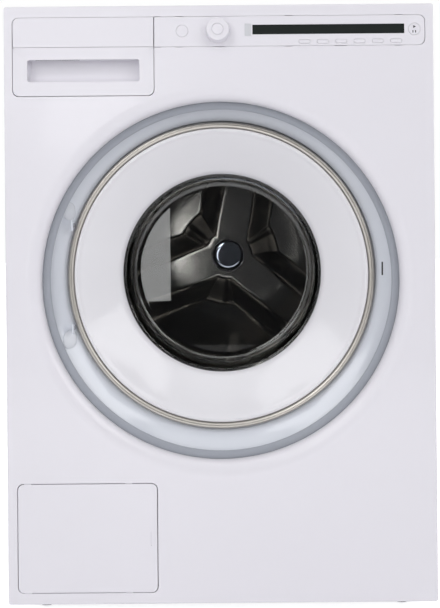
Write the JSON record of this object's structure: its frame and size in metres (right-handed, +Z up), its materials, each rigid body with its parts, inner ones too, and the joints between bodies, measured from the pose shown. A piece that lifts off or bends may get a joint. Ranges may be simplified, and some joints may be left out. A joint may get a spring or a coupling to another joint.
{
  "type": "front-loading washing machine",
  "caption": "White front-loading washing machine with a recessed round glass door, detergent drawer, control strip and service flap.",
  "frame": {"origin": "on the floor, under the middle of the whole machine", "axes": "+Z up, the front faces -Y, +X is to the right seen from the front"},
  "size_m": [0.595, 0.613, 0.85],
  "materials": {
    "white_enamel": "smooth satin enamel",
    "white_plastic": "fine satin",
    "white_gloss": "high gloss",
    "band_grey": "soft matt",
    "collar_grey": "gloss",
    "grey_plastic": "matt",
    "black_plastic": "matt",
    "motor_black": "matt paint",
    "black_rubber": "matt",
    "display_dark": "gloss",
    "polished_steel": "polished",
    "stainless": "bright",
    "galvanised": "dull zinc",
    "cast_aluminium": "as cast",
    "door_glass": "clear",
    "concrete": "rough"
  },
  "bodies": {
    "cabinet": {"base_frame": "galvanised", "left_side_panel": "white_enamel", "right_side_panel": "white_enamel", "rear_panel": "galvanised", "rear_access_cover": "galvanised", "top_cover": "white_enamel", "front_panel": "white_enamel", "opening_band": "band_grey", "control_panel": "white_plastic", "display_window": "display_dark", "silver_plate": "stainless", "drawer_housing": "grey_plastic", "water_inlet_valve": "grey_plastic", "mains_gland": "black_plastic", "drain_pump": "grey_plastic", "foot_front_left": "black_rubber", "foot_rear_left": "black_rubber", "foot_front_right": "black_rubber", "foot_rear_right": "black_rubber", "strut_cylinder_left": "galvanised", "strut_cylinder_right": "galvanised"},
    "tub": {"outer_tub": "grey_plastic", "tub_front": "grey_plastic", "collar_ring": "collar_grey", "door_lock": "black_plastic", "shaft_bearing": "stainless", "motor": "motor_black", "drive_belt": "black_rubber", "counterweight": "concrete", "strut_rod_left": "stainless", "strut_rod_right": "stainless"},
    "drum": {"drum_shell": "stainless", "drum_back": "stainless", "drum_lifter_1": "stainless", "drum_lifter_2": "stainless", "drum_lifter_3": "stainless", "hub_cap": "polished_steel", "drum_spider": "cast_aluminium", "drum_pulley": "cast_aluminium"},
    "rotor": {"motor_pulley": "stainless"},
    "door": {"door_trim": "polished_steel", "door_ring": "white_gloss", "door_glass": "door_glass", "door_inner_frame": "stainless", "door_seal": "black_rubber", "door_hinge": "galvanised"},
    "hook": {"latch_hook": "stainless"},
    "knob": {"program_knob": "white_plastic"},
    "power": {"power_button": "white_plastic"},
    "start": {"start_button": "white_plastic"},
    "option_1": {"option_button_1": "white_plastic"},
    "option_2": {"option_button_2": "white_plastic"},
    "option_3": {"option_button_3": "white_plastic"},
    "option_4": {"option_button_4": "white_plastic"},
    "option_5": {"option_button_5": "white_plastic"},
    "option_6": {"option_button_6": "white_plastic"},
    "drawer": {"drawer_front": "white_plastic", "drawer_tray": "grey_plastic"},
    "flap": {"service_flap": "white_plastic"},
    "filter": {"filter_cap": "black_plastic"}
  },
  "joints": [
    {"name": "tub_float", "type": "slide", "parent": "cabinet", "child": "tub", "axis": [0, 0, 1], "range_m": [-0.008, 0.008], "stiffness_N_per_m": 20000, "springref_m": 0.02944},
    {"name": "drum_spin", "type": "hinge", "parent": "tub", "child": "drum", "pos_m": [0, 0.2, 0.4726], "axis": [0, 1, 0], "continuous": true},
    {"name": "motor_spin", "type": "hinge", "parent": "tub", "child": "rotor", "pos_m": [0.04, 0.25, 0.142], "axis": [0, 1, 0], "continuous": true},
    {"name": "door_swing", "type": "hinge", "parent": "tub", "child": "door", "pos_m": [-0.21, -0.2665, 0.4726], "axis": [0, 0, -1], "range_deg": [0, 120]},
    {"name": "hook_turn", "type": "hinge", "parent": "door", "child": "hook", "pos_m": [0.205, -0.22, 0.4726], "axis": [0, 1, 0], "range_deg": [0, 15], "stiffness_Nm_per_rad": 0.05},
    {"name": "knob_turn", "type": "hinge", "parent": "cabinet", "child": "knob", "pos_m": [-0.0008, -0.3, 0.8144], "axis": [0, 1, 0], "continuous": true},
    {"name": "power_press", "type": "slide", "parent": "cabinet", "child": "power", "axis": [0, 1, 0], "range_m": [0, 0.0015], "stiffness_N_per_m": 600},
    {"name": "start_press", "type": "slide", "parent": "cabinet", "child": "start", "axis": [0, 1, 0], "range_m": [0, 0.0015], "stiffness_N_per_m": 600},
    {"name": "option_1_press", "type": "slide", "parent": "cabinet", "child": "option_1", "axis": [0, 1, 0], "range_m": [0, 0.0015], "stiffness_N_per_m": 600},
    {"name": "option_2_press", "type": "slide", "parent": "cabinet", "child": "option_2", "axis": [0, 1, 0], "range_m": [0, 0.0015], "stiffness_N_per_m": 600},
    {"name": "option_3_press", "type": "slide", "parent": "cabinet", "child": "option_3", "axis": [0, 1, 0], "range_m": [0, 0.0015], "stiffness_N_per_m": 600},
    {"name": "option_4_press", "type": "slide", "parent": "cabinet", "child": "option_4", "axis": [0, 1, 0], "range_m": [0, 0.0015], "stiffness_N_per_m": 600},
    {"name": "option_5_press", "type": "slide", "parent": "cabinet", "child": "option_5", "axis": [0, 1, 0], "range_m": [0, 0.0015], "stiffness_N_per_m": 600},
    {"name": "option_6_press", "type": "slide", "parent": "cabinet", "child": "option_6", "axis": [0, 1, 0], "range_m": [0, 0.0015], "stiffness_N_per_m": 600},
    {"name": "drawer_slide", "type": "slide", "parent": "cabinet", "child": "drawer", "axis": [0, -1, 0], "range_m": [0, 0.19]},
    {"name": "flap_swing", "type": "hinge", "parent": "cabinet", "child": "flap", "pos_m": [-0.2695, -0.2865, 0.1135], "axis": [0, 0, -1], "range_deg": [0, 100]},
    {"name": "filter_turn", "type": "hinge", "parent": "cabinet", "child": "filter", "pos_m": [-0.186, -0.255, 0.112], "axis": [0, 1, 0], "range_deg": [-90, 0]}
  ],
  "couplings": [
    {"joint": "motor_spin", "follows": "drum_spin", "ratio": 14}
  ]
}
